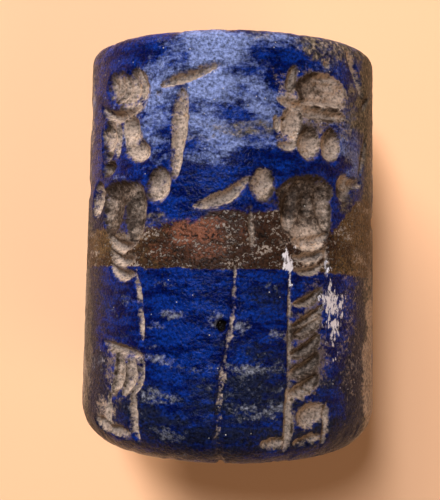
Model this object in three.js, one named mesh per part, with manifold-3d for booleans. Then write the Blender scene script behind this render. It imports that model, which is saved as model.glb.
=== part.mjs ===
// A cylinder seal: a small drilled roller of lapis lazuli, cut all round in intaglio with standing
// figures. It lies on its side, so the photographed figures face up (+Z), their heads towards +Y.
import * as THREE from "three";
import { mergeVertices } from "three/addons/utils/BufferGeometryUtils.js";
import Module from "manifold-3d";

const wasm = await Module();
wasm.setup();

// Driving sizes in millimetres.
const LENGTH = 20.8;
const TOP_DIAMETER = 15.2; // the end above the figures' heads, worn a little narrower
const BOTTOM_DIAMETER = 15.8; // the end below their feet
const TOP_ROUNDING = 0.65; // worn edge of the top end
const BOTTOM_ROUNDING = 2.2; // worn edge of the bottom end
const BORE_DIAMETER = 3.6; // drilled lengthwise for a cord or a pin
const BORE_FLARE = 0.35; // how far the cord has widened each mouth of the bore
const FLAT_WIDTH = 3; // of the worn flat it lies on, at the narrow end
const TOP_MARGIN = 1.6; // bare stone above the figures' heads
const FOOT_MARGIN = 0.8; // bare stone below their feet
const CARVING_DEPTH = 0.45; // of an ordinary stroke

// Where each figure stands, in degrees round the stone from the top line, to the right as one
// looks at it with the heads up.
const LEADER_ANGLE = -42.1;
const LORD_ANGLE = 30.3;
const RIGHT_ATTENDANT_ANGLE = 104;
const LEFT_ATTENDANT_ANGLE = -109;
const STAR_ANGLE = 140;
const CRESCENT_ANGLE = -81;

const STONE_SIDES = 72;
const ROUNDING_STEPS = 4;
const CLEARANCE = 0.5; // by which a cutting solid stands clear of the stone outside it

const topRadius = TOP_DIAMETER / 2;
const bottomRadius = BOTTOM_DIAMETER / 2;
const boreRadius = BORE_DIAMETER / 2;
const meanRadius = (topRadius + bottomRadius) / 2;
const axisHeight = Math.sqrt(topRadius ** 2 - (FLAT_WIDTH / 2) ** 2);
const figureHeight = LENGTH - TOP_MARGIN - FOOT_MARGIN;
const footLine = FOOT_MARGIN - LENGTH / 2;

// Radius of the uncarved stone at a height along it, measured from its middle.
function radiusAt(along) {
  const share = along / LENGTH + 0.5;
  return bottomRadius + (topRadius - bottomRadius) * share;
}

// Quarter of a circle in the profile plane, from one angle to another, in degrees.
function roundedCorner(x, y, radius, from, to) {
  const start = THREE.MathUtils.degToRad(from);
  const end = THREE.MathUtils.degToRad(to);
  return new THREE.ArcCurve(x, y, radius, start, end, false).getPoints(ROUNDING_STEPS);
}

// The outline of half the stone, turned about its axis into the blank roller.
function blankStone() {
  const half = LENGTH / 2;
  const mouth = boreRadius + BORE_FLARE;
  const outline = [
    new THREE.Vector2(boreRadius, -half + BORE_FLARE),
    new THREE.Vector2(mouth, -half),
    ...roundedCorner(
      bottomRadius - BOTTOM_ROUNDING,
      -half + BOTTOM_ROUNDING,
      BOTTOM_ROUNDING,
      -90,
      0,
    ),
    ...roundedCorner(topRadius - TOP_ROUNDING, half - TOP_ROUNDING, TOP_ROUNDING, 0, 90),
    new THREE.Vector2(mouth, half),
    new THREE.Vector2(boreRadius, half - BORE_FLARE),
  ];
  outline.push(outline[0].clone());
  const blank = new THREE.LatheGeometry(outline, STONE_SIDES);
  return blank.translate(0, 0, axisHeight);
}

// A box that takes away the stone below the flat it lies on.
function flatCutter() {
  const across = BOTTOM_DIAMETER + 2 * CLEARANCE;
  const deep = bottomRadius;
  const box = new THREE.BoxGeometry(across, LENGTH + 2 * CLEARANCE, deep);
  return box.translate(0, 0, -deep / 2);
}

// A stroke of the cutter, in hundredths of the figure's height: x to the right of the figure's
// middle, y up from its soles, long and wide over all, turn in degrees from level to the long
// side, and bend the height of its bow. Depth is a share of the carving's depth.
function drop(x, y, long, wide, turn = 0, depth = 1, bend = 0) {
  return { x, y, long, wide, turn, depth, bend };
}

// A narrow stroke from one point to another.
function groove(x0, y0, x1, y1, wide, depth = 1, bend = 0) {
  const turn = THREE.MathUtils.radToDeg(Math.atan2(y1 - y0, x1 - x0));
  const long = Math.hypot(x1 - x0, y1 - y0);
  return drop((x0 + x1) / 2, (y0 + y1) / 2, long, wide, turn, depth, bend);
}

// The hollow that a stroke leaves: a flattened ball bent round the stone, its middle standing
// proud of the surface so that the hollow has steep edges and a full floor.
const PROUD_SHARE = 0.35;
const FOOTPRINT_SHARE = 0.86; // of the ball's width that a few-sided ball keeps at the surface

function strokeCutter(stroke, figureAngle) {
  const unit = figureHeight / 100;
  const slender = stroke.wide < 4.5;
  const short = stroke.long < 8;
  const ball = new THREE.SphereGeometry(1, slender ? 6 : 8, short ? 4 : 5);
  const halfLong = (stroke.long * unit) / 2 / FOOTPRINT_SHARE;
  const halfWide = (stroke.wide * unit) / 2 / FOOTPRINT_SHARE;
  const radial = (CARVING_DEPTH * stroke.depth) / (1 - PROUD_SHARE);
  const turn = THREE.MathUtils.degToRad(stroke.turn);
  const points = ball.attributes.position;
  for (let i = 0; i < points.count; i++) {
    const bow = stroke.bend * unit * (1 - 2 * points.getY(i) ** 2);
    const p = points.getY(i) * halfLong;
    const q = bow - points.getX(i) * halfWide;
    const around = stroke.x * unit + p * Math.cos(turn) - q * Math.sin(turn);
    const along = footLine + stroke.y * unit + p * Math.sin(turn) + q * Math.cos(turn);
    const proud = radial * (points.getZ(i) + PROUD_SHARE);
    const angle = THREE.MathUtils.degToRad(figureAngle) + around / meanRadius;
    const radius = radiusAt(along) + proud;
    points.setXYZ(i, radius * Math.sin(angle), along, axisHeight + radius * Math.cos(angle));
  }
  return ball;
}

// A face in profile of the plain kind that seal cutters used: a round cheek, a straight nose, lips
// and a chin. Side is -1 where it looks left and 1 where it looks right.
function face(x, y, side) {
  return [
    drop(x, y, 9, 6.6, 90, 0.9),
    drop(x + side * 3.8, y + 0.2, 5, 2.2, 90 - side * 18, 0.8),
    drop(x + side * 2.6, y - 4.8, 3.2, 2.2, 0, 0.7),
  ];
}

// The figure on the left: a crested cap, a bun, a long beard, a staff, and a robe that is hemmed
// at the knee over a pleated skirt.
function leader() {
  const strokes = [...face(-7.4, 82.2, -1)];
  const crestStrips = 4;
  for (let i = 0; i < crestStrips; i++) {
    strokes.push(groove(5 - 3.7 * i, 99 - 0.4 * i, 1 - 2.7 * i, 88.6 + i, 4.2, 0.85, 1.9 - 0.3 * i));
  }
  const brim = groove(-13.5, 88.8, 7, 89.4, 3, 1, -1.3);
  const beard = [groove(-3.4, 85, -4, 74, 3, 0.8), drop(-7.4, 74.2, 6.4, 4, 24, 0.9)];
  const bun = [drop(2.2, 83.4, 6.6, 5.4, 95), drop(4.4, 77.7, 9, 5.6, -10)];
  const body = [drop(-5.2, 63.2, 13.4, 8, 86), drop(4.4, 61.6, 19, 7, 91)];
  const arm = drop(-13.4, 66, 10, 6.4, 62);
  strokes.push(brim, ...beard, ...bun, ...body, arm);
  const beltBands = 3;
  for (let i = 0; i < beltBands; i++) {
    strokes.push(groove(-6.6 + 0.3 * i, 54.6 - 3.8 * i, 5, 52.6 - 3.8 * i, 3.4, 1, -1.1));
  }
  strokes.push(groove(5, 47, 8, 27, 1.8, 0.6));
  strokes.push(groove(-8.2, 26.6, 8.8, 24, 3));
  const pleats = 4;
  for (let i = 0; i < pleats; i++) {
    const across = -1.6 + 3 * i;
    strokes.push(groove(across, 24, across - 1.6, 13.2, 2.8, 0.8, 0.8));
  }
  strokes.push(groove(5.2, 14, 5.8, 0, 3.6, 0.8), groove(-3.8, 13.6, -3.8, 4.4, 1.8, 0.7));
  const feet = [drop(-7.8, 4.2, 8, 4, -6), drop(-0.6, 3.2, 9, 3.6)];
  const hand = drop(11.5, 68.5, 9.6, 7.4, 80, 1.1);
  const staff = [groove(17.9, 93.6, 16, 69.2, 4.8), groove(11, 94, 28.6, 99.2, 3.2)];
  strokes.push(...feet, hand, ...staff);
  return strokes;
}

// The figure on the right: a round cap over a hair band, locks of hair, both arms held out and a
// robe in flounces.
function lord() {
  const strokes = [...face(-6.4, 84.2, -1)];
  const capStrips = 3;
  for (let i = 0; i < capStrips; i++) {
    strokes.push(drop(3.2, 91.6 + 2.5 * i, 18 - 2 * i, 3.4, 1, 0.8, 0.5));
  }
  const hairBand = groove(-10.4, 91.8, 12.6, 89.4, 3, 1, -0.9);
  const capTip = drop(-4.8, 99.4, 2.8, 2.4, 0, 0.7);
  const bun = drop(10.6, 91.6, 7.6, 5, 90);
  const locks = [drop(-7.2, 79, 5, 3, 0, 0.8), drop(-1.4, 79.8, 8.8, 7.6, 90)];
  locks.push(drop(6, 80.6, 9.4, 8, 90));
  strokes.push(hairBand, capTip, bun, ...locks);
  const chestStrokes = 3;
  for (let i = 0; i < chestStrokes; i++) {
    strokes.push(drop(-6.6 + 4.9 * i, 63.6 + 0.5 * i, 14.6, 6.8, 78 + 12 * i));
  }
  const frontArm = [drop(-14, 68.7, 9.2, 6.8, 84, 1.1), groove(-16.8, 70.2, -31.8, 62, 3.8, 1, 0.9)];
  const thong = groove(-16.8, 64.4, -16.8, 52, 1.5, 0.5);
  const rearArm = [drop(12.2, 69, 8, 7.6, 90, 1.1), drop(17.6, 70.4, 8, 3.4, 0, 0.9)];
  const forearm = groove(20, 72.6, 24.4, 84, 3);
  const club = [groove(12.4, 106, 22.8, 93.6, 3), groove(21, 91.2, 27, 95.4, 2.4)];
  strokes.push(...frontArm, thong, ...rearArm, forearm, ...club);
  const beltBands = 3;
  for (let i = 0; i < beltBands; i++) {
    strokes.push(drop(-0.4 * i, 54.8 - 3.8 * i, 12.2 - i, 3.8 - 0.6 * i, 8, 1, -0.6));
  }
  const flounces = 5;
  for (let i = 0; i < flounces; i++) {
    strokes.push(groove(-5.6 - 0.3 * i, 37.2 - 5.4 * i, 3.8, 41.6 - 5.6 * i, 3.6, 1, -0.6));
  }
  const hem = drop(0.2, 9.8, 9.4, 6.2, 8);
  const edges = [groove(-6.4, 48, -6.6, 16, 1.4, 0.5), groove(-6.6, 18, -6.4, -0.6, 2.6, 0.9)];
  edges.push(groove(5, 54, 5, 45, 1.8, 0.7), groove(5, 13, 5.2, 0.4, 2, 0.8));
  const feet = [drop(-10.2, 2.7, 7.2, 3.2), drop(-0.2, 2.9, 9, 3.2, 8)];
  strokes.push(hem, ...edges, ...feet);
  return strokes;
}

// A plainer attendant for the side away from the photograph, with a hand held up and a straight
// robe. Side is -1 where it looks left and 1 where it looks right.
function attendant(side) {
  const strokes = [...face(side * 4, 83, side)];
  const cap = [drop(0, 92.2, 15, 5, 0), drop(-side * 0.6, 96.6, 10, 4, 0)];
  const hair = drop(-side * 4, 81.4, 10, 5.6, 90);
  const body = [drop(side * 3.6, 63, 15.5, 7, 90 - side * 5), drop(-side * 3.4, 63, 16, 7, 90)];
  const arm = [groove(side * 6, 66, side * 17, 61, 3.6), groove(side * 16, 60, side * 20, 73, 3.6)];
  strokes.push(...cap, hair, ...body, ...arm);
  const beltBands = 2;
  for (let i = 0; i < beltBands; i++) {
    strokes.push(drop(0, 53 - 4 * i, 12.5, 3, 0));
  }
  const folds = 3;
  for (let i = 0; i < folds; i++) {
    const across = (i / (folds - 1) - 0.5) * 2;
    strokes.push(groove(across * 5.4, 45, across * 7.4, 9, 2.6, 0.8));
  }
  const feet = [drop(side * 7.6, 2.8, 7, 3.2), drop(-side * 2, 2.8, 7, 3.2)];
  strokes.push(groove(-9, 8.4, 9, 8.4, 3), ...feet);
  return strokes;
}

// A star of three crossing strokes, high in the field between two figures.
function star() {
  const strokes = [];
  const rays = 3;
  for (let i = 0; i < rays; i++) {
    strokes.push(drop(0, 90, 10, 2.2, (i * 180) / rays, 0.8));
  }
  return strokes;
}

// A crescent with a disc in it, high in the field between two figures.
function crescent() {
  return [drop(0, 88, 13, 3, 0, 0.9, -1.6), drop(0, 92.4, 4.6, 4.6, 0, 0.9)];
}

const carving = [
  [LEADER_ANGLE, leader()],
  [LORD_ANGLE, lord()],
  [RIGHT_ATTENDANT_ANGLE, attendant(-1)],
  [LEFT_ATTENDANT_ANGLE, attendant(1)],
  [STAR_ANGLE, star()],
  [CRESCENT_ANGLE, crescent()],
];

// A three.js geometry as a manifold-3d solid, and back again.
function toSolid(geometry) {
  geometry.deleteAttribute("normal");
  geometry.deleteAttribute("uv");
  const merged = mergeVertices(geometry, 1e-4);
  const vertProperties = merged.attributes.position.array;
  const triVerts = new Uint32Array(merged.index.array);
  return new wasm.Manifold(new wasm.Mesh({ numProp: 3, vertProperties, triVerts }));
}

function toGeometry(solid) {
  const mesh = solid.getMesh();
  const geometry = new THREE.BufferGeometry();
  geometry.setAttribute("position", new THREE.BufferAttribute(mesh.vertProperties, 3));
  geometry.setIndex(new THREE.BufferAttribute(mesh.triVerts, 1));
  geometry.computeVertexNormals();
  return geometry;
}

let stone = toSolid(blankStone()).subtract(toSolid(flatCutter()));
for (const [angle, strokes] of carving) {
  for (const stroke of strokes) {
    stone = stone.subtract(toSolid(strokeCutter(stroke, angle)));
  }
}

const lapis = new THREE.MeshStandardMaterial({ color: 0x2b3f86, roughness: 0.5, metalness: 0 });
const seal = new THREE.Mesh(toGeometry(stone), lapis);
seal.name = "cylinder_seal";

const cylinderSeal = new THREE.Group();
cylinderSeal.add(seal);
export default cylinderSeal;
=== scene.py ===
"""A cylinder seal of lapis lazuli, lying on its side, dressed for a render.

Lengths are millimetres in the seal's own terms until the mesh is made: s runs round the stone from the
middle of the upper side, y runs along it from the figures' feet to their heads, and depth goes inwards.
"""

import math

import bpy
import numpy as np
from mathutils import Matrix, Vector


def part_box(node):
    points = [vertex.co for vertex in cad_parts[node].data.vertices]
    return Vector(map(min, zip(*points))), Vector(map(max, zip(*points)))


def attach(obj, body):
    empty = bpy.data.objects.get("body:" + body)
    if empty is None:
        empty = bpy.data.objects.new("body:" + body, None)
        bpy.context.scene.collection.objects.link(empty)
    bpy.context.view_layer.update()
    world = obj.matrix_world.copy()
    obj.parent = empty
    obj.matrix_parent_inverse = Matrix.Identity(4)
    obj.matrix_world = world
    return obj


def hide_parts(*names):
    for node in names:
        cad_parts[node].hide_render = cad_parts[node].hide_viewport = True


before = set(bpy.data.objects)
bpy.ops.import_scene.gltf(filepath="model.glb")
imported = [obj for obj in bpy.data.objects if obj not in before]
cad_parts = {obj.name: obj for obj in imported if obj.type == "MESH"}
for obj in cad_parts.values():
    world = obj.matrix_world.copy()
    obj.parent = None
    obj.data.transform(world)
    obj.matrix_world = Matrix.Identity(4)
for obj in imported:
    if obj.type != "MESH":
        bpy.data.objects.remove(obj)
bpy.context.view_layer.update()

# The stone. A drum of lapis lazuli, ground a little wider at the feet end, drilled lengthwise and worn
# round at both ends. A narrow facet on the far side lets it lie still.
MM = 0.001
TOP_TO_BOTTOM = 15.2 / 15.8
TOP_ROUNDING = 0.65
BOTTOM_ROUNDING = 2.2
BORE_RADIUS = 1.8
BORE_FLARE = 0.35

low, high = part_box("cylinder_seal")
half_length = (high.y - low.y) / 2 / MM
bottom_radius = (high.x - low.x) / 2 / MM
top_radius = bottom_radius * TOP_TO_BOTTOM
mean_radius = (top_radius + bottom_radius) / 2
axis_height = high.z / MM - bottom_radius
girth = 2 * math.pi * mean_radius


def even_steps(start, end, step):
    """Points of a straight line from start to end at even steps of about that length, without the end."""
    count = max(2, round(math.dist(start, end) / step))
    share = np.linspace(0, 1, count, endpoint=False)[:, None]
    return np.array(start) * (1 - share) + np.array(end) * share


def quarter_round(middle, radius, start, step):
    """A quarter circle of (along, radius) points that starts at an angle in degrees, 0 facing outwards."""
    count = max(3, round(radius * math.pi / 2 / step))
    turn = np.radians(start + np.linspace(0, 90, count, endpoint=False))
    return np.array(middle) + radius * np.stack([np.sin(turn), np.cos(turn)], 1)


def round_the_stone(reach_and_step):
    """Angles round the stone: even steps from each zone's edge to the next, in radians from the top."""
    angles, edge = [], 0.0
    for reach, step in reach_and_step:
        count = round(math.radians(reach - edge) * mean_radius / step)
        angles.append(np.linspace(edge, reach, count, endpoint=False))
        edge = reach
    half = np.concatenate(angles)
    return np.radians(np.concatenate([-half[:0:-1], half, [180]]))


# The skin is one closed grid. Its rows follow the outline out of the bore, over the feet end, along the
# wall, over the heads' end and back into the bore. Its columns go round, closest together on the upper
# side: up to each reach, in degrees from the top, they stand so many millimetres apart.
BORE_STEP = 1.6
MOUTH_STEP = 0.25
END_STEP = 0.4
BOTTOM_EDGE_STEP = 0.14
WALL_STEP = 0.098
TOP_EDGE_STEP = 0.11
FINE_REACH, FINE_STEP = 62, 0.08
SIDE_REACH, SIDE_STEP = 95, 0.13
BACK_REACH, BACK_STEP = 180, 0.27

mouth = BORE_RADIUS + BORE_FLARE
bottom_throat, top_throat = -half_length + BORE_FLARE, half_length - BORE_FLARE
bottom_edge, top_edge = -half_length + BOTTOM_ROUNDING, half_length - TOP_ROUNDING
bottom_face, top_face = bottom_radius - BOTTOM_ROUNDING, top_radius - TOP_ROUNDING
outline = np.concatenate(
    [
        even_steps((0, BORE_RADIUS), (bottom_throat, BORE_RADIUS), BORE_STEP),
        even_steps((bottom_throat, BORE_RADIUS), (-half_length, mouth), MOUTH_STEP),
        even_steps((-half_length, mouth), (-half_length, bottom_face), END_STEP),
        quarter_round((bottom_edge, bottom_face), BOTTOM_ROUNDING, -90, BOTTOM_EDGE_STEP),
        even_steps((bottom_edge, bottom_radius), (top_edge, top_radius), WALL_STEP),
        quarter_round((top_edge, top_face), TOP_ROUNDING, 0, TOP_EDGE_STEP),
        even_steps((half_length, top_face), (half_length, mouth), END_STEP),
        even_steps((half_length, mouth), (top_throat, BORE_RADIUS), MOUTH_STEP),
        even_steps((top_throat, BORE_RADIUS), (0, BORE_RADIUS), BORE_STEP),
    ]
)
theta = round_the_stone([(FINE_REACH, FINE_STEP), (SIDE_REACH, SIDE_STEP), (BACK_REACH, BACK_STEP)])
rows, columns = len(outline), len(theta)
tangent = np.roll(outline, -1, 0) - np.roll(outline, 1, 0)
tangent /= np.linalg.norm(tangent, axis=1)[:, None]
travel = np.cumsum(np.linalg.norm(outline - np.roll(outline, 1, 0), axis=1))
s = np.broadcast_to(theta * mean_radius, (rows, columns))
y = np.broadcast_to(outline[:, :1], (rows, columns))
on_wall = outline[:, 1] > mean_radius - BOTTOM_ROUNDING


def ease(start, end, value):
    """0 below start and 1 above end, joined by 3t² - 2t³."""
    t = np.clip((value - start) / (end - start), 0, 1)
    return t * t * (3 - 2 * t)


def mottle(size, seed, stretch=1.0):
    """Random soft hills from -1 to 1, of that size along the stone and size · stretch round it.

    Random heights on a lattice are blended with 3t² - 2t³ both ways, and the lattice closes on itself.
    """
    around = max(4, round(girth / (size * stretch)))
    along = max(4, round(travel[-1] / size))
    heights = np.random.default_rng(seed).uniform(-1, 1, (along, around))
    p, q = travel / travel[-1] * along, (theta / (2 * math.pi) + 0.5) * around
    i, j = np.floor(p).astype(int), np.floor(q).astype(int)
    u, v = ease(0, 1, p - i)[:, None], ease(0, 1, q - j)[None, :]
    corner = lambda down, right: heights[np.ix_((i + down) % along, (j + right) % around)]
    first = corner(0, 0) * (1 - v) + corner(0, 1) * v
    second = corner(1, 0) * (1 - v) + corner(1, 1) * v
    return first * (1 - u) + second * u


# The carving. The figures are cut into the wall with small drills and gravers, as hollows that meet one
# another. Each stroke is an oval bowl, given in hundredths of the figures' height from the foot line, and
# a figure stands at an angle round the stone.
TOP_MARGIN = 1.6
FOOT_MARGIN = 0.8
CARVING_DEPTH = 0.45
BOWL_SHAPE = 0.93
HAND_SWAY, HAND_TREMOR = 0.17, 0.16
LEADER_ANGLE = -42.1
LORD_ANGLE = 30.3
RIGHT_ATTENDANT_ANGLE = 104
LEFT_ATTENDANT_ANGLE = -109
STAR_ANGLE = 140
CRESCENT_ANGLE = -81

unit = (2 * half_length - TOP_MARGIN - FOOT_MARGIN) / 100
foot_line = -half_length + FOOT_MARGIN
carved = np.zeros((rows, columns))
hand_across, hand_up = (
    HAND_SWAY * mottle(0.5, seed) + HAND_TREMOR * mottle(0.22, seed + 1) for seed in (1, 3)
)


def cut(x, y, long, wide, turn=0.0, depth=1.0, taper=0.0, bend=0.0):
    """One stroke: its middle, length, width, turn in degrees, share of the depth, taper and bend."""
    return x, y, long, wide, math.radians(turn), depth, taper, bend


def groove(x0, y0, x1, y1, wide, depth=1.0, taper=0.0, bend=0.0):
    """A stroke from one end to the other."""
    turn = math.degrees(math.atan2(y1 - y0, x1 - x0))
    return cut((x0 + x1) / 2, (y0 + y1) / 2, math.hypot(x1 - x0, y1 - y0), wide, turn, depth, taper, bend)


def carve(angle, strokes):
    """Sinks a figure's strokes into the wall; where strokes meet, the deeper one counts.

    p runs along a stroke of half length a, and q across it, less bend · (1 - 2 (p/a)²) and over
    1 - taper · p/a. With ρ² = (p/a)² + (q/b)², the depth is √(1 - k²ρ²) - √(1 - k²), scaled to 1 at ρ = 0.
    First each place is shifted both ways by as much as the cutter's hand strays there.
    """
    shoulder = math.sqrt(1 - BOWL_SHAPE**2)
    for x, y_up, long, wide, turn, depth, taper, bend in strokes:
        half, side = long / 2, wide / 2
        reach = (half + side + abs(bend)) * unit
        away = (theta - math.radians(angle) + math.pi) % (2 * math.pi) - math.pi
        near = np.flatnonzero(np.abs(away * mean_radius - x * unit) < reach)
        level = np.flatnonzero(on_wall & (np.abs(outline[:, 0] - foot_line - y_up * unit) < reach))
        here = np.ix_(level, near)
        right = (away[near] * mean_radius / unit - x)[None, :] + hand_across[here]
        up = ((outline[level, 0] - foot_line) / unit - y_up)[:, None] + hand_up[here]
        p = (right * math.cos(turn) + up * math.sin(turn)) / half
        q = up * math.cos(turn) - right * math.sin(turn) - bend * (1 - 2 * p**2)
        q /= side * np.clip(1 - taper * p, 0.2, None)
        bowl = np.sqrt(np.clip(1 - BOWL_SHAPE**2 * (p**2 + q**2), 0, 1)) - shoulder
        bowl = np.clip(bowl, 0, None) / (1 - shoulder) * depth * CARVING_DEPTH
        carved[here] = np.maximum(carved[here], bowl)


def face(x, y, side):
    """A face in profile of the plain kind that seal cutters used: cheek, nose, eye, lips and chin."""
    return [
        cut(x, y, 9, 6.6, 90, 0.9),
        cut(x + side * 3.8, y + 0.2, 5, 2.2, 90 - side * 18, 0.8),
        cut(x + side * 1.4, y + 1.6, 2.6, 1.5, 0, 1.3),
        cut(x + side * 3.2, y - 3.4, 2.4, 1.3, 0, 0.6),
        cut(x + side * 2.4, y - 5.2, 3, 2, 0, 0.7),
    ]


# The first figure has a ribbed crown, a long beard, a bun, a belt and a robe with a pleated hem, and
# holds up a tall staff with a bar across its top.
crown = [cut(-4.4, 95.4, 11, 9, -12, 0.55), cut(2.4, 93.2, 12.8, 11.5, 80, 0.65)]
crown += [groove(-13.6, 89.4, 6.6, 88.8, 3.2, 1.1, 0, -1.7)]
for i in range(5):
    upper, lower = (5.2 - 3.1 * i, 99.4 - 0.3 * i), (1.6 - 2.3 * i, 88.2 + 0.9 * i)
    crown.append(groove(*upper, *lower, 3.6 - 0.3 * i, 0.85, 0, 2.2 - 0.3 * i))
beard = [groove(-3, 85, -3.4, 76, 2.6, 0.8), cut(-7.6, 73.2, 7.6, 3.8, 14, 0.9)]
beard += [groove(-11.6, 80.4 - 3.2 * i, -4.8, 81.2 - 3.2 * i, 2.3, 0.9, 0, -0.9) for i in (1, 2)]
bun = [cut(2.2, 83.4, 6.8, 6, 95), cut(4.4, 77.7, 9, 6.2, -10), cut(3, 80.6, 7, 6, 60, 0.6)]
chest = [cut(-1.2, 67, 17.4, 6, 0, 0.75), cut(-5, 62.8, 14.6, 9.8, 86, 0.9), cut(4.4, 62, 16.4, 7, 91)]
arms = [cut(-14, 65.2, 10.4, 8.4, 60), cut(11.5, 68.5, 9.6, 7.4, 80, 1.1)]
belt = [groove(-6.6 + 0.3 * i, 54.6 - 3.8 * i, 5, 52.6 - 3.8 * i, 3.4, 1, 0, -1.1) for i in range(3)]
robe = [groove(5, 47, 8, 27, 1.6, 0.6, 0, 0.3), groove(-8.2, 26.6, 8.8, 24, 2.8)]
for x, wide in ((0.3, 4.4), (4.7, 3.8), (7.9, 2.2)):
    robe.append(groove(x, 24.6, x - 2.3, 13, wide, 0.7, 0, 0.9))
robe += [groove(5.2, 14.5, 5.7, 0.6, 2.9, 0.8), groove(-3.8, 13.6, -3.8, 4.4, 1.8, 0.7)]
feet = [cut(-7.8, 4.2, 8, 4, -6), cut(-0.6, 3.2, 9, 3.6)]
staff = [groove(17.9, 93.6, 16, 69.2, 4.8, 1, 0.3), groove(11, 94, 28.6, 99.2, 3.2)]
staff += [cut(10.8, 92.2, 2, 1.8, 0, 0.4)]
carve(LEADER_ANGLE, face(-7.4, 82.2, -1) + crown + beard + bun + chest + arms + belt + robe + feet + staff)

# The second figure has a round cap with a band, long locks, a bare chest, both hands out, a wound belt
# and a robe of slanting flounces, with slanting strokes behind the shoulder.
cap = [cut(4, 93.8, 18.6, 9.6, -3, 0.65), cut(4.9, 100.8, 3, 1.6, 0, 0.5)]
cap += [cut(4 + 0.2 * i, 90.8 + 2.1 * i, 17.4 - 2.2 * i, 2.2, 1, 0.85, 0, 0.4) for i in range(4)]
cap += [groove(-11, 90.4, 13, 87.2, 3.2, 1, 0, -0.6), groove(-7.4, 92.6, -5.6, 99.8, 2.8, 0.7)]
locks = [cut(-7.2, 79, 5, 3, 0, 0.8), cut(-1.2, 79.6, 8.8, 6.6, 90), cut(6.4, 79.8, 9, 7.4, 90)]
chest = [cut(-1.8, 62.4, 18.5, 15.5, 90, 0.85, -0.2), cut(-1.4, 67.4, 18.4, 7.6, 3, 0.85)]
chest += [cut(-6 + 4.8 * i, 63.4 + 0.4 * i, 14.6, 5.6, 78 + 12 * i, 1.15) for i in range(3)]
arms = [cut(-14, 68.7, 9.2, 6.8, 84, 1.1), groove(-16.8, 70.2, -31.8, 62, 3.8, 1, 0, 0.9)]
arms += [groove(-16.8, 64.4, -16.8, 52, 1.5, 0.5), cut(12.2, 69, 8, 7.6, 90, 1.1)]
arms += [cut(17.6, 70.4, 8, 3.4, 0, 0.9), groove(20, 72.6, 24.4, 84, 3)]
behind = [groove(12.4, 106, 22.8, 93.6, 3), groove(21, 91.2, 27, 95.4, 2.4)]
belt = [cut(0, 55, 12.4, 4, 8, 1, 0, -0.6), cut(-0.6, 51, 12, 2.5, 8, 1, 0, -0.5)]
belt += [cut(-0.8, 47.3, 9.6, 2.4, 10, 1, 0, -0.5), groove(5, 54, 5, 45, 1.6, 0.7)]
robe = [groove(-5.6, 37.9, 3.8, 41.9, 2.9, 1.1, 0, -0.6), groove(-5.8, 32, 4, 37.4, 3, 1.1, 0, -0.3)]
robe += [groove(-5.6, 29.8, 4, 34.6, 2.6, 0.9, 0, -0.3), cut(0.2, 9.8, 9.4, 6.2, 8)]
for i in range(3):
    lower, upper = (-6.4 - 0.4 * i, 24.8 - 5.1 * i), (3.2 - 0.2 * i, 29.8 - 5.2 * i)
    robe.append(groove(*lower, *upper, 3 + 0.5 * i, 1.1, 0, -0.4))
robe += [groove(-6.2, 48, -6.6, 14, 1.2, 0.5), groove(-6.6, 18, -6.4, -0.6, 2.6, 0.9)]
robe += [groove(5, 13, 5.2, 0.4, 2, 0.8)]
feet = [cut(-10.2, 2.7, 7.2, 3.2), cut(-0.2, 2.9, 9, 3.2, 8)]
carve(LORD_ANGLE, face(-6.4, 84.2, -1) + cap + locks + chest + arms + behind + belt + robe + feet)


def attendant(side):
    """A plainer standing figure for the far side: cap, long hair, one raised hand, belt and robe."""
    strokes = face(side * 4, 83, side)
    strokes += [cut(0, 92.2, 15, 5), cut(-side * 0.6, 96.6, 10, 4), cut(-side * 4, 81.4, 10, 5.6, 90)]
    strokes += [cut(side * 3.6, 63, 15.5, 7, 90 - side * 5), cut(-side * 3.4, 63, 16, 7, 90)]
    strokes += [groove(side * 6, 66, side * 17, 61, 3.6), groove(side * 16, 60, side * 20, 73, 3.6)]
    strokes += [cut(0, 53 - 4 * i, 12.5, 3) for i in range(2)]
    strokes += [groove(i * 5.4, 45, i * 7.4, 9, 2.6, 0.8) for i in (-1, 0, 1)]
    strokes += [groove(-9, 8.4, 9, 8.4, 3), cut(side * 7.6, 2.8, 7, 3.2), cut(-side * 2, 2.8, 7, 3.2)]
    return strokes


# Two attendants face the scene from the far side, with a six-rayed star and a crescent under a disc.
carve(RIGHT_ATTENDANT_ANGLE, attendant(-1))
carve(LEFT_ATTENDANT_ANGLE, attendant(1))
carve(STAR_ANGLE, [cut(0, 90, 10, 2.2, 60 * i, 0.8) for i in range(3)])
carve(CRESCENT_ANGLE, [cut(0, 88, 13, 3, 0, 0.9, 0, -1.6), cut(0, 92.4, 4.6, 4.6, 0, 0.9)])

# Wear. Long handling and burial have pitted the skin, nicked the sides, chipped the edges and left the
# strokes' floors uneven. A drill pit stands beside a hairline crack that has opened and filled with earth.
SKIN_RELIEF = 0.014
FLOOR_RELIEF, FLOOR_GRIT = 0.035, 0.025
CRACK_DEPTH = 0.16
PIT_DEPTH = 0.4
PIT_WIDTH = 0.55
PIT_PLACE = (-0.35, -3.58)
CHIP_DEPTH = 0.05
NICK_HALF_WIDTH = 1.2
DEEPEST_NICK = 0.16

waves = 0.6 * mottle(0.9, 11, 1.6) + 0.8 * mottle(0.42, 12, 1.4) + 0.6 * mottle(0.22, 13, 1.3)
wear = SKIN_RELIEF * (1 + waves)

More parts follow.
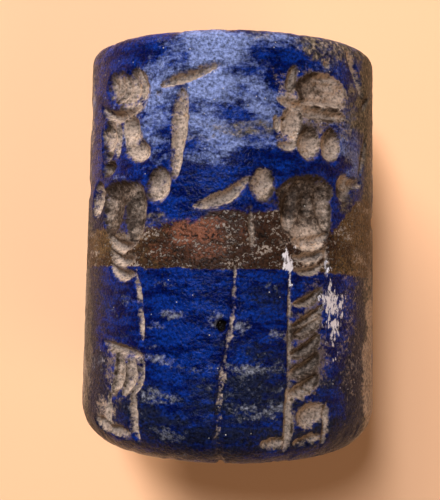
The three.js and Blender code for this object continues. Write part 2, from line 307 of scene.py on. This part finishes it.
# The crack's line as places along and round the stone, and how far it is open along it.
crack_along = (-9.9, -8.3, -6.9, -4.6, -3.4, -2, -0.9, 0.2)
crack_round = (-0.35, -0.4, -0.35, -0.1, 0.17, 0.27, 0.27, 0.32)
crack_line = np.interp(y, crack_along, crack_round) + 0.05 * mottle(0.5, 14) + 0.03 * mottle(0.2, 15)
crack_open = np.interp(y, (-9.9, -7, -5, -3.4, -1), (0.2, 0.17, 0.1, 0.16, 0.08))
crack_open = np.clip(crack_open * (1 + 0.5 * mottle(0.5, 16)), 0.02, None)
crack = ease(1.5, 0.5, np.abs(s - crack_line) / crack_open) * ease(0.5, -0.9, y)
from_pit = np.hypot(s - PIT_PLACE[0], y - PIT_PLACE[1]) / (PIT_WIDTH / 2)
pit = ease(1.25, 0.6, from_pit + 0.15 * mottle(0.2, 17))
in_bowl = ease(0.01, 0.2, carved / CARVING_DEPTH)
floor_relief = in_bowl * (FLOOR_RELIEF * mottle(0.4, 18) + FLOOR_GRIT * mottle(0.2, 19))

# Each nick: its angle, its height and length in hundredths of the figures' height, and its depth.
nicks = 0
for angle, up, tall, deep in (
    (-81, 90.5, 9, 0.1), (-81, 69, 6.5, DEEPEST_NICK), (81, 60.5, 4.4, DEEPEST_NICK), (86, 4, 6, 0.05)
):
    across = (s - math.radians(angle) * mean_radius) / NICK_HALF_WIDTH
    nicks = nicks + deep * ease(1.1, 0, np.hypot(across, (y - foot_line - up * unit) / (tall / 2 * unit)))
on_edge = (np.abs(tangent[:, :1]) < 0.97) * (outline[:, 1:] > mean_radius - BOTTOM_ROUNDING - 0.2)
chips = on_edge * CHIP_DEPTH * ease(0.2, 1, mottle(0.7, 20) + 0.5 * mottle(0.3, 21))
depth = carved + wear + CRACK_DEPTH * crack + PIT_DEPTH * pit + floor_relief + nicks + chips
depth = np.clip(depth, 0, None) * (outline[:, 1:] > mouth)

# The skin itself: each row sinks along the outline's own normal, and the far side stops at the facet
# that the seal lies on. Faces join every four neighbours, all the way round both ways.
radius = outline[:, 1:] - depth * tangent[:, :1]
along = outline[:, :1] + depth * tangent[:, 1:]
facet = axis_height / np.clip(-np.cos(theta), 0.01, None)
radius = np.minimum(radius, facet)
points = np.stack([radius * np.sin(theta), along + 0 * radius, axis_height + radius * np.cos(theta)], -1)
i, j = np.meshgrid(np.arange(rows), np.arange(columns), indexing="ij")
below, right = (i + 1) % rows, (j + 1) % columns
quads = np.stack([i * columns + j, i * columns + right, below * columns + right, below * columns + j], -1)

mesh = bpy.data.meshes.new("lapis_seal")
mesh.from_pydata((points.reshape(-1, 3) * MM).tolist(), [], quads.reshape(-1, 4).tolist())
mesh.polygons.foreach_set("use_smooth", np.ones(len(mesh.polygons), bool))
seal = bpy.data.objects.new("lapis_seal", mesh)
bpy.context.collection.objects.link(seal)

# The stone's colours. Lapis lies in thin layers, here square to the bore: ultramarine with grey calcite
# haze above, a rust and olive band of iron-stained rock across the middle, clear deep blue below it that
# dulls to navy, and lenses of grey rock. Tan earth fills what is cut, and old lime clings to one side.
# Some colours stand in for light too: a painted sheen on the upper side, a painted warm reflection down
# the flanks, painted shade on the walls of the strokes and painted shadow in the gaps between them.
on_side = ease(3.5, 6.5, outline[:, 1:])


def cloud(size, seed, stretch=1.0):
    """Hills of that size with smaller ones on them, each half as wide and 0.7 as high as the last."""
    return sum(0.7**k * mottle(size / 2**k, seed + k, stretch) for k in range(4)) / 1.6


def lenses(*places, ragged=0.55):
    """Soft-edged lenses (s, y, wide, tall, strength): strength · (1 - ease(ρ)), the largest counting.

    ρ is the distance from the middle over the half size, with a cloud of the stone's own layers added.
    """
    fray = ragged * cloud(0.9, 31, 2.2)
    total = np.zeros((rows, columns))
    for across, up, wide, tall, strength in places:
        ring = np.hypot((s - across) / (wide / 2), (y - up) / (tall / 2)) + fray
        total = np.maximum(total, strength * ease(1.5, 0.3, ring))
    return total * on_side


def spread(field, cells):
    """A field blurred over the grid by three running means each way."""
    for axis in (0, 1) * 3:
        field = sum(np.roll(field, k, axis) for k in range(-cells, cells + 1)) / (2 * cells + 1)
    return field


# What several colours share: how deep a place is cut, the ring just outside the strokes where shadow is
# painted, the stone's own layers and patches, the flanks, and the edge where patina starts on them, which
# is partly patina and partly a painted reflection of the warm room.
share = carved / CARVING_DEPTH
# The ring just outside the strokes, where shadow is painted into the earth and darkened.
gap_shadow = ease(0.08, 0.8, spread(in_bowl, 1)) * (1 - in_bowl)
layers = cloud(0.7, 41, 3.5)
patches = cloud(1.4, 51, 1.6)
flank = on_side * ease(13, 9.6, np.abs(s) + 1.8 * patches)
# From here outwards the flanks take patina and, partly, a painted reflection of the warm room on their
# grazing sides.
patina_and_reflection_start = np.where(s > 0, 7.3, np.interp(y, (-6, 2), (7.4, 8.7)))
edge = flank * ease(0, 1.9, np.abs(s) - patina_and_reflection_start + 0.4 * patches)

# The band of rock, between two lines of heights at places round the stone, with rust and olive in it.
top_line = np.interp(
    s,
    (-24, -9, -4.6, -3, -1.5, 0, 4.4, 5.4, 7, 8, 24),
    (0.9, 0.8, 0.9, 1.1, 1.6, 1.9, 1.9, 1, 2.2, 2.6, 1),
)
foot_of_band = np.interp(s, (-24, -8, -4.6, 3, 5, 8, 24), (-1.2, -1, -0.95, -0.9, -1, -1.3, -1.2))
sway = 0.35 * cloud(0.8, 61, 1.4)
band = ease(-0.5, 0.5, top_line + sway - y) * ease(-0.15, 0.15, y - foot_of_band - 0.25 * sway)
rust = lenses(
    (-1.7, 1, 3.6, 1.7, 0.75), (-0.8, 0, 3, 1, 0.5), (-3.3, 0, 2, 1.4, 0.4), (0.7, 0.9, 1.2, 1.4, 0.4),
    (6.5, 1, 2, 2, 0.2),
)
olive = ease(3.6, 6.5, np.abs(s)) * np.where(s < 0, 0.45, 0.65) + 0.4 * patches
olive = olive - lenses((2, 0.2, 3, 1.6, 0.5))

# Calcite haze above the band, in banks with clear gaps, and mossy stains near and far round the stone.
# The haze is partly a painted sheen, and the moss on the flanks is partly a painted warm reflection.
haze_and_sheen = ease(1.5, 5, y) * 0.35 + 0.2 * patches * ease(0, 3, y) + 0.2 * layers * ease(0, 3, y)
# The first two banks, at the middle of the upper side, are partly a painted sheen.
haze_and_sheen += lenses(
    (-0.9, 8.4, 2.8, 5, 0.36), (-0.9, 5.8, 2.6, 4, 0.25), (-4, 6.6, 1.8, 3, 0.3), (1.6, 6.8, 2.4, 3, 0.3),
    (7.2, 4.6, 2.4, 4, 0.2),
)
haze_and_sheen -= lenses(
    (3, 4.1, 5.4, 1.1, 0.9), (-0.3, 3.3, 5, 1.6, 0.45), (-5.2, 4.1, 2, 0.9, 0.8), (2.4, 8, 1.5, 1, 0.7),
    (3.5, 9, 1.3, 0.7, 0.7), (-8.2, 7, 2, 6, 0.9), (-4.9, 3, 1, 2, 0.5), (-6.4, 9.7, 5, 1.7, 0.9),
)
# The flank edge term paints a warm reflection into the moss, besides real patina.
moss_and_reflection = 0.7 * edge + 0.2 * patches * ease(1, 3, y)
moss_and_reflection += lenses(
    (4.8, 9.7, 6, 1.8, 0.6), (7.2, 7, 2.8, 5, 0.55), (1.4, 5.7, 6.6, 1, 0.6), (1.4, 10.1, 1.8, 0.8, 0.4),
    (-3.6, 1.5, 2, 1.2, 0.5), (-8.6, 1.5, 2.4, 4, 0.35), (-1.4, 5.2, 2.4, 0.8, 0.45),
    (4.4, 7.4, 4, 3, 0.3), (6.6, 2.2, 2.4, 1, 0.5),
)
moss_and_reflection += lenses((12, 7.4, 4, 1.6, 0.5), (-12, 5, 5, 1.2, 0.5), (19, 5.4, 7, 1, 0.5), (-17, 9.6, 6, 1.6, 0.5))

# Below the band the blue dulls towards the feet and the sides, and grey rock lies in thin lenses.
dull = 0.1 + ease(-4.5, -8, y) * 0.5 + 0.35 * layers * ease(-2, -5, y) + 0.3 * edge
dull += flank * np.where(y < 2, 0.55, 0.3) * ease(6.2, 8, np.abs(s))
dull += lenses(
    (1.8, -2.2, 2.8, 2.4, 0.45), (-6, -2.9, 2.8, 3.6, 0.35), (1.4, -5, 4, 3, 0.3), (7.6, -6.5, 3, 7, 0.4)
)
grey = 0.76 * lenses(
    (-2.7, -3.1, 1.6, 0.6, 0.55), (-3.6, -3.7, 1.4, 0.5, 0.4), (0.6, -3.6, 1.1, 0.8, 0.6),
    (-0.7, -3.3, 1, 0.9, 0.45), (2.1, -3.9, 0.9, 0.7, 0.4), (-2.9, -5.2, 2.6, 0.5, 0.55),
    (0.9, -5.5, 4, 0.6, 0.45), (-3.2, -7.1, 2.2, 0.8, 0.45), (-2.7, -8.8, 1.8, 1, 0.4),
    (1.6, -7.6, 3.4, 0.9, 0.35), (-5.4, -2.6, 1.6, 0.8, 0.3), (-6.4, -3.3, 1.4, 0.7, 0.3),
    (12.5, -4, 4, 0.8, 0.6), (16, -6, 5, 1, 0.5), (-13, -3, 4, 0.7, 0.6), (-18, -5.4, 5, 1, 0.5),
    (2, -1.7, 0.9, 0.6, 0.35), (-3.2, -1.6, 1.4, 0.6, 0.35), (6.8, -3, 1.4, 4, 0.2),
)
grey += 0.3 * layers * ease(-3, -5, y) + 0.06

# Earth in every stroke, the crack and the nicks, and round the figures as the ground for the painted
# shadow there. Down the sides the long lenses and the flank edge are partly a painted reflection of the
# warm room.
earth_and_reflection = (0.5 * ease(0.0, 0.15, share) + 0.35 * ease(0.2, 0.9, share)) * (1 + 0.55 * cloud(0.6, 71))
earth_and_reflection += crack * (0.45 + 0.3 * cloud(0.5, 75)) + ease(0.25, 0.9, nicks / DEEPEST_NICK) * 0.5
# Of these lenses, the long ones at s ±9.5 to ±9.9 are a painted warm reflection on the grazing sides.
earth_and_reflection += lenses(
    (7, -4, 2.4, 11, 0.3), (4.3, 6.7, 4.6, 4, 0.5), (4, -4.8, 2.2, 6.4, 0.5), (-5.9, -6.3, 2.2, 3, 0.35),
    (-6.3, 5.4, 2.6, 3.4, 0.3), (3.8, 2, 4, 3.4, 0.5), (-6, 1.9, 3.8, 3.2, 0.45), (9.5, -6, 2.6, 10, 0.75),
    (-9.9, -5, 2.4, 10, 0.6), (-9.9, 6, 1.8, 8, 0.4), (9.8, 5, 2, 8, 0.3), (-0.9, 2.2, 1, 0.5, 0.4),
    (-6.8, -8.2, 2, 1.8, 0.5), (4.1, -3.8, 2.2, 3, 0.2), (4, -6.3, 2, 3, 0.3), (-5, 1.6, 2.6, 3, 0.35),
    (4, 8.2, 4, 1.6, 0.35), (5, 9.6, 4.4, 1.3, 0.35),
)
# The flank edge adds painted reflection, and the ring round the strokes the ground for painted shadow.
earth_and_reflection += 0.15 * edge + 0.1 * patches + 0.6 * gap_shadow

# The earth is darker in lenses and patches and on the flanks, but less in the belts, the staff and the
# second figure's front hand. On the rims and in the deepest spots of the strokes the darkening is painted
# shade, and in the ring round them it is painted shadow.
stain_and_shade = lenses(
    (3.8, 2.4, 6, 4.4, 0.73), (-6, 2.4, 6, 4.4, 0.7), (-6.5, 7.9, 3.4, 2.8, 0.42), (-5.9, -6.4, 2, 3, 0.3),
    (4, -4.6, 2.6, 7, 0.5), (-5.6, -6.6, 3, 4, 0.15), (3.7, 8.3, 3, 1.8, 0.45), (4.6, 6.2, 5, 1.6, 0.35),
    (3.9, 5.7, 1.4, 1.3, 0.55), (5.3, 5.8, 1.5, 1.4, 0.6), (-7.6, 5.2, 1.6, 3, 0.5), (-9, -3, 2.6, 12, 0.3),
    (8.8, 1, 2.4, 4, 0.35), (-6.3, -0.6, 2.6, 2, 0.4),
)
stain_and_shade -= lenses((3.9, -0.1, 3, 2, 0.5), (-5.9, -0.5, 2.6, 2, 0.4))
# Painted shadow in the ring round the strokes, with darker patches and flanks.
stain_and_shade += 0.14 * patches + 0.35 * edge + 0.5 * gap_shadow
# Painted shade on the strokes' shallow rims and in their deepest spots.
stain_and_shade += 0.4 * (1 - ease(0.1, 0.5, share)) * ease(0, 0.1, share) + 0.9 * ease(1.17, 1.25, share)
stain_and_shade -= 0.3 * ease(0.4, 1, share) * lenses((-2.9, 6, 5, 6, 1), (0.6, 3.2, 3.6, 3, 1))

# Lime in thin ragged streaks beside the second figure's robe, along the bore.
lime = lenses(
    (2.74, -0.5, 0.3, 1, 0.55), (2.95, -1.2, 0.3, 1.2, 0.7), (5.05, -0.9, 0.26, 1.4, 0.45),
    (5.25, -1.9, 0.26, 1.9, 0.6), (5.55, -2.7, 0.3, 1.6, 0.6), (5.2, -3.1, 0.5, 1.4, 0.55),
    (5.6, -3.6, 0.9, 1.3, 0.6), (6.1, -3.1, 0.3, 1.8, 0.45), (5.1, 0.3, 0.3, 1.2, 0.3),
    (5.9, -5, 0.3, 1.6, 0.2), (5.5, -3.2, 1.7, 2.4, 0.28), (5.3, -8.7, 0.6, 0.9, 0.25),
    (3, 0.1, 0.4, 0.5, 0.25),
    ragged=1.1,
)

# Each goes into the mesh as an attribute, held between none and the most that it may cover.
stone = {
    "band": (band, 1), "rust": (rust, 1), "haze_and_sheen": (haze_and_sheen, 0.75), "moss_and_reflection": (moss_and_reflection, 0.85), "olive": (olive, 1),
    "dull": (dull, 0.85), "grey": (grey, 0.7), "earth_and_reflection": (earth_and_reflection, 0.95), "stain_and_shade": (stain_and_shade, 0.8),
    "pit": (pit, 1), "lime": (lime, 1),
}
for name, (field, most) in stone.items():
    values = np.ascontiguousarray(np.clip(field, 0, most), np.float32).ravel()
    mesh.attributes.new(name, "FLOAT", "POINT").data.foreach_set("value", values)


def linear(code):
    """An sRGB colour written as six hex digits, as linear red, green, blue and alpha."""
    parts = [int(code[i : i + 2], 16) / 255 for i in (0, 2, 4)]
    return [c / 12.92 if c <= 0.04045 else ((c + 0.055) / 1.055) ** 2.4 for c in parts] + [1]


def add(tree, kind, settings=(), inputs=()):
    """Adds a node, sets its settings and fills its inputs: a socket is linked, anything else is set."""
    node = tree.nodes.new(kind)
    for name, value in dict(settings).items():
        setattr(node, name, value)
    for name, value in dict(inputs).items():
        if isinstance(value, bpy.types.NodeSocket):
            tree.links.new(value, node.inputs[name])
        else:
            node.inputs[name].default_value = value
    return node


# Polished lapis lazuli, worn: a hard stone with a waxy polish, so that light spreads into a soft sheen
# broken by fine pitting. Grains of blue, white calcite and dark rock show at a tenth of a millimetre.
lapis = bpy.data.materials.new("worn_polished_lapis_lazuli")
lapis.use_nodes = True
tree = lapis.node_tree
tree.nodes.clear()
place = add(tree, "ShaderNodeTexCoord").outputs["Object"]
layered = add(tree, "ShaderNodeMapping", {}, {"Vector": place, "Scale": (1, 2.6, 1)}).outputs[0]
along_bore = add(tree, "ShaderNodeMapping", {}, {"Vector": place, "Scale": (1.3, 0.6, 1)}).outputs[0]
amount = {
    name: add(tree, "ShaderNodeAttribute", {"attribute_name": name}).outputs["Fac"] for name in stone
}

# Even noise of grains of so many millimetres, half its repeat, stretched so that it fills 0 to 1.
grains = []
for size, where, detail, roughness, swing in (
    (0.07, place, 2, 0.6, 0.18),
    (0.12, place, 3, 0.75, 0.2),
    (0.09, along_bore, 2, 0.7, 0.2),
    (0.2, layered, 3, 0.65, 0.2),
    (0.6, layered, 3, 0.6, 0.2),
):
    pattern = {"Vector": where, "Scale": 0.5 / (size * MM), "Detail": detail, "Roughness": roughness}
    noise = add(tree, "ShaderNodeTexNoise", {}, pattern).outputs[0]
    full = {0: noise, 1: 0.5 - swing, 2: 0.5 + swing}
    grains.append(add(tree, "ShaderNodeMapRange", {}, full).outputs[0])
speck, crumbly, streaky, middling, broad = grains


def lay(under, over, cover, against, crisp=0.25):
    """Lays one colour over another where cover outdoes the grain against it, blended within ± crisp.

    Cover is first stretched to run from -crisp to 1 + crisp, so that 0 leaves all bare and 1 covers all.
    """
    stretched = {0: cover, 1: 1 + 2 * crisp, 2: -crisp}
    cover = add(tree, "ShaderNodeMath", {"operation": "MULTIPLY_ADD"}, stretched).outputs[0]
    margin = add(tree, "ShaderNodeMath", {"operation": "SUBTRACT"}, {0: cover, 1: against}).outputs[0]
    blend = {0: margin, 1: -crisp, 2: crisp}
    share = add(tree, "ShaderNodeMapRange", {"interpolation_type": "SMOOTHSTEP"}, blend).outputs[0]
    return add(tree, "ShaderNodeMix", {"data_type": "RGBA"}, {0: share, 6: under, 7: over}).outputs[2]


half_crumbly = add(tree, "ShaderNodeMath", {"operation": "MULTIPLY"}, {0: crumbly, 1: 0.55}).outputs[0]
two_sizes = {0: middling, 1: 0.45, 2: half_crumbly}
mixed = add(tree, "ShaderNodeMath", {"operation": "MULTIPLY_ADD"}, two_sizes).outputs[0]
warmth = add(tree, "ShaderNodeMath", {"operation": "MULTIPLY"}, {0: broad, 1: 0.42}).outputs[0]
dusting = add(tree, "ShaderNodeMath", {"operation": "MULTIPLY"}, {0: broad, 1: 0.48}).outputs[0]

# Blue stone: deep blue and ultramarine, paled by haze and a painted sheen, dulled to navy, and stained
# grey and mossy brown, the brown on the flanks partly a painted reflection.
blue = lay(linear("000838"), linear("052061"), broad, mixed, 0.7)
blue = lay(blue, linear("626f98"), amount["haze_and_sheen"], mixed, 0.5)
blue = lay(blue, linear("101528"), amount["dull"], mixed, 0.4)
blue = lay(blue, linear("6b6e78"), amount["grey"], crumbly, 0.5)
mossy = lay(linear("25241f"), linear("716551"), 0.45, crumbly, 0.6)
blue = lay(blue, mossy, amount["moss_and_reflection"], mixed, 0.5)

# The band: dark brown rock, olive towards the sides, with ochre, rust, black and dusty grains.
rock = lay(linear("2a1b13"), linear("4e3c25"), amount["olive"], crumbly, 0.6)
rock = lay(rock, linear("806038"), warmth, speck, 0.35)
rock = lay(rock, linear("5e3a2a"), amount["rust"], mixed, 0.5)
rock = lay(rock, linear("120d0b"), 0.36, speck, 0.3)
rock = lay(rock, linear("a3968a"), dusting, speck, 0.2)

# Packed earth: two close tans with ochre in them, and a dark stain that is partly painted shade and
# shadow.
soil = lay(linear("8a7a6c"), linear("a69585"), 0.5, speck, 0.75)
soil = lay(soil, linear("9c7852"), warmth, crumbly, 0.6)
soil = lay(soil, linear("30261f"), amount["stain_and_shade"], crumbly, 0.9)

# The whole: grit makes each grain of it darker or lighter, the pit is dark, and lime lies over all.
body = lay(blue, rock, amount["band"], mixed, 0.4)
body = lay(body, soil, amount["earth_and_reflection"], crumbly, 0.45)
grit = add(tree, "ShaderNodeMath", {"operation": "MULTIPLY_ADD"}, {0: speck, 1: 1.3, 2: 0.35}).outputs[0]
body = add(tree, "ShaderNodeVectorMath", {"operation": "SCALE"}, {0: body, "Scale": grit}).outputs[0]
body = lay(body, linear("110d0b"), amount["pit"], middling, 0.4)
body = lay(body, linear("cbc6c8"), amount["lime"], streaky, 0.26)

# Flecks: white calcite and pyrite grains, at most 0.08 mm across, in about one of four 0.4 mm cells.
FLECK_SPACING = 0.4
FLECK_SHARE = 0.28
spacing = {"Vector": place, "Scale": 1 / (FLECK_SPACING * MM), "Randomness": 1.0}
cells = add(tree, "ShaderNodeTexVoronoi", {}, spacing)
fleck = add(tree, "ShaderNodeMapRange", {}, {0: cells.outputs["Distance"], 1: 0.1, 2: 0.04}).outputs[0]
picked = add(tree, "ShaderNodeSeparateColor", {}, {0: cells.outputs["Color"]}).outputs[0]
few = {0: picked, 1: 1 - FLECK_SHARE}
some = add(tree, "ShaderNodeMath", {"operation": "GREATER_THAN"}, few).outputs[0]
fleck = add(tree, "ShaderNodeMath", {"operation": "MULTIPLY"}, {0: fleck, 1: some}).outputs[0]
pale = {0: fleck, 6: body, 7: linear("a8a39a")}
body = add(tree, "ShaderNodeMix", {"data_type": "RGBA"}, pale).outputs[2]

# The polish is waxy on clean stone, and earth, lime and moss take it away, also where earth and moss
# paint the reflection on the flanks.
CLEAN_ROUGHNESS = 0.2
DIRTY_ROUGHNESS = 0.6
GRAIN_RELIEF = 0.03
crusts = {0: amount["earth_and_reflection"], 1: amount["lime"]}
dirty = add(tree, "ShaderNodeMath", {"operation": "MAXIMUM"}, crusts).outputs[0]
dirty = add(tree, "ShaderNodeMath", {"operation": "MAXIMUM"}, {0: dirty, 1: amount["moss_and_reflection"]}).outputs[0]
gloss = add(tree, "ShaderNodeMapRange", {}, {0: dirty, 3: CLEAN_ROUGHNESS, 4: DIRTY_ROUGHNESS}).outputs[0]
uneven = {0: middling, 1: 0.1, 2: gloss}
gloss = add(tree, "ShaderNodeMath", {"operation": "MULTIPLY_ADD"}, uneven).outputs[0]
hills = add(tree, "ShaderNodeMath", {"operation": "MULTIPLY_ADD"}, {0: crumbly, 1: 1.2, 2: speck}).outputs[0]
relief = {"Height": hills, "Strength": 0.55, "Distance": GRAIN_RELIEF * MM}
skin = add(tree, "ShaderNodeBump", {}, relief).outputs[0]
polish = {"Roughness": gloss, "Normal": skin, "IOR": 1.3, "Specular IOR Level": 0.16}
surface = add(tree, "ShaderNodeBsdfPrincipled", {}, {"Base Color": body, **polish})
add(tree, "ShaderNodeOutputMaterial", {}, {"Surface": surface.outputs[0]})
mesh.materials.append(lapis)

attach(seal, "root")
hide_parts("cylinder_seal")

# The table: a plain matt sheet of peach paper, much wider than the view, that gives the eye an even
# colour without shine.
TABLE_HALF = 400
corners = [(a * TABLE_HALF * MM, b * TABLE_HALF * MM, 0) for a, b in ((-1, -1), (1, -1), (1, 1), (-1, 1))]
table_mesh = bpy.data.meshes.new("table")
table_mesh.from_pydata(corners, [], [(0, 1, 2, 3)])
table = bpy.data.objects.new("table", table_mesh)
bpy.context.collection.objects.link(table)
paper = bpy.data.materials.new("matt_peach_paper")
paper.use_nodes = True
sheet = paper.node_tree.nodes["Principled BSDF"]
sheet.inputs["Base Color"].default_value = linear("ebba90")
sheet.inputs["Roughness"].default_value = 1
sheet.inputs["Specular IOR Level"].default_value = 0
table_mesh.materials.append(paper)

# The light: a small bright window above the seal's top end, whose sheen lies along the polish, a soft
# lamp low beyond that end, whose slanting light shows the carving, and a weak warm fill from the other
# side. Warm walls stand all round and fade upwards into a dark ceiling.
ROOM_BRIGHTNESS = 0.38
CEILING_HEIGHT = 0.6

# Each lamp leans so many degrees right and up from overhead, and stands so many metres away.
middle = Vector((0, 0, axis_height * MM))
for name, lean_right, lean_up, distance, size, brightness, tint in (
    ("window", -13, 27, 0.34, (0.07, 0.12), 0.93, "f0f3ff"),
    ("top lamp", -42, 62, 0.36, (0.16, 0.16), 1.28, "fff4ee"),
    ("fill", 50, -44, 0.4, (0.3, 0.3), 0.42, "ffdfc2"),
):
    lamp = bpy.data.lights.new(name, "AREA")
    lamp.shape = "ELLIPSE"
    lamp.size, lamp.size_y = size
    lamp.color = linear(tint)[:3]
    lamp.energy = brightness * math.pi**2 * distance**2
    holder = bpy.data.objects.new(name, lamp)
    toward = Vector((math.tan(math.radians(lean_right)), math.tan(math.radians(lean_up)), 1)).normalized()
    holder.location = middle + toward * distance
    holder.rotation_euler = toward.to_track_quat("Z", "Y").to_euler()
    bpy.context.collection.objects.link(holder)
world = bpy.data.worlds.new("room")
world.use_nodes = True
room = world.node_tree
facing = add(room, "ShaderNodeTexCoord").outputs["Generated"]
height = add(room, "ShaderNodeSeparateXYZ", {}, {0: facing}).outputs["Z"]
climb = add(room, "ShaderNodeMapRange", {}, {0: height, 2: CEILING_HEIGHT}).outputs[0]
colours = {0: climb, 6: linear("f6d2b0"), 7: linear("2c2a30")}
walls = add(room, "ShaderNodeMix", {"data_type": "RGBA"}, colours).outputs[2]
room.links.new(walls, room.nodes["Background"].inputs["Color"])
room.nodes["Background"].inputs["Strength"].default_value = ROOM_BRIGHTNESS
bpy.context.scene.world = world

# The camera looks straight down from close by, turned a little so that the seal leans as it does in the
# photograph, and aimed a little to the left of it. Its long side covers 500 pixels.
FRAME_HEIGHT = 500
FOCAL_PIXELS = 911.7
VIEW_DISTANCE = 50.14
LEAN = 0.0161
OFF_CENTRE = (9.67, 0.73)
camera = bpy.data.cameras.new("camera")
camera.sensor_width = 36
camera.lens = FOCAL_PIXELS / FRAME_HEIGHT * camera.sensor_width
camera.clip_start, camera.clip_end = 0.001, 10
viewer = bpy.data.objects.new("camera", camera)
above = Matrix.Translation((0, 0, (axis_height + VIEW_DISTANCE) * MM))
aim_turn = Matrix.Rotation(math.atan(OFF_CENTRE[0] / FOCAL_PIXELS), 4, "Y")
aim_tilt = Matrix.Rotation(-math.atan(OFF_CENTRE[1] / FOCAL_PIXELS), 4, "X")
viewer.matrix_world = above @ Matrix.Rotation(LEAN, 4, "Z") @ aim_turn @ aim_tilt
bpy.context.collection.objects.link(viewer)
bpy.context.scene.camera = viewer
bpy.context.scene.view_settings.view_transform = "Standard"
